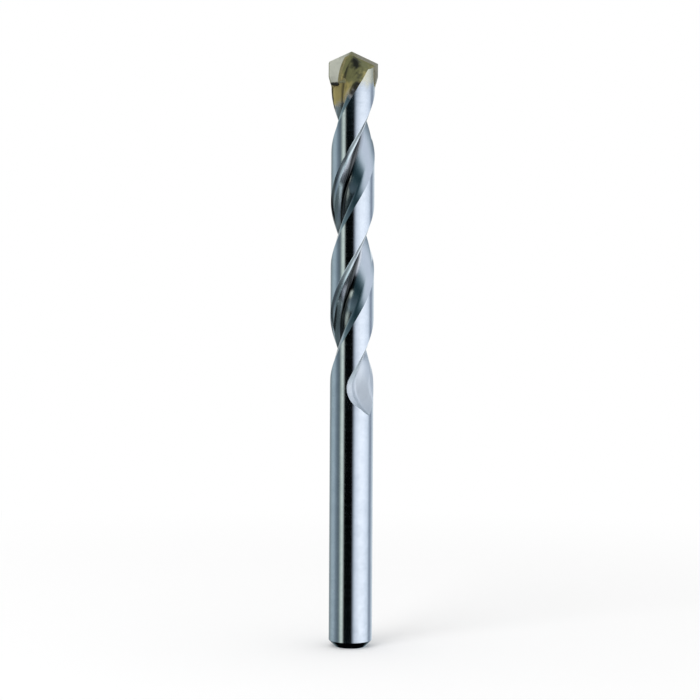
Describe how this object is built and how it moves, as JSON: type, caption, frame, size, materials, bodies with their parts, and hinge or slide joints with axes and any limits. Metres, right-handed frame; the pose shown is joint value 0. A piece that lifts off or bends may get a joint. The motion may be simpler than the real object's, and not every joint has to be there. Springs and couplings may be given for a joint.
{
  "type": "masonry drill bit",
  "caption": "Straight round-shank masonry drill bit with helical flutes that run out into the shank and a roof-shaped carbide plate brazed across the point.",
  "frame": {"origin": "centre of the flat face at the shank end", "axes": "+Z along the drill's axis from the shank end to the point; X along the cutting edges; the picture looks along +Y"},
  "size_m": [0.01, 0.0088, 0.12],
  "materials": {
    "bright_steel": "bright ground",
    "cemented_carbide": "fine ground, grey",
    "brazing_alloy": "as solidified"
  },
  "bodies": {
    "root": {"bit_body": "bright_steel", "carbide_tip": "cemented_carbide", "braze_joint": "brazing_alloy"}
  },
  "joints": []
}
